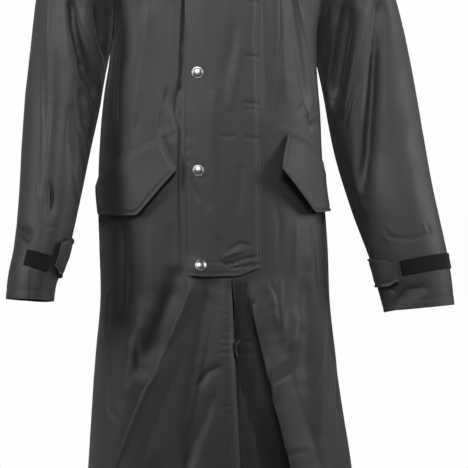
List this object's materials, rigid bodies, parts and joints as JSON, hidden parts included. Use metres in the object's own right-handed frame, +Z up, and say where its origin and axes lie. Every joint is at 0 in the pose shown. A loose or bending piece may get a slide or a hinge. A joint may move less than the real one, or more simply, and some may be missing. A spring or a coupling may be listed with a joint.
{
  "type": "raincoat",
  "caption": "Long raincoat in its worn shape, open at neck, hem and cuffs, with a storm flap, pointed pocket flaps and cuff tabs.",
  "frame": {"origin": "middle of the neck opening, level with the highest point of the shoulder seams, where the wearer holds the coat up", "axes": "+Z up, -Y towards the front, +X towards the wearer's left"},
  "size_m": [0.7627, 0.3806, 1.288],
  "materials": {
    "coated_cloth": "satin coated nylon",
    "cuff_tape": "matt loop pile",
    "snap_metal": "polished"
  },
  "bodies": {
    "root": {"back": "coated_cloth", "right_front": "coated_cloth", "left_front": "coated_cloth", "storm_flap": "coated_cloth", "collar": "coated_cloth", "right_sleeve": "coated_cloth", "left_sleeve": "coated_cloth", "right_pocket_flap": "coated_cloth", "left_pocket_flap": "coated_cloth", "right_cuff_tape": "cuff_tape", "left_cuff_tape": "cuff_tape", "right_cuff_tab": "coated_cloth", "left_cuff_tab": "coated_cloth", "snap_1": "snap_metal", "snap_2": "snap_metal", "snap_3": "snap_metal", "snap_4": "snap_metal", "snap_5": "snap_metal"}
  },
  "joints": []
}
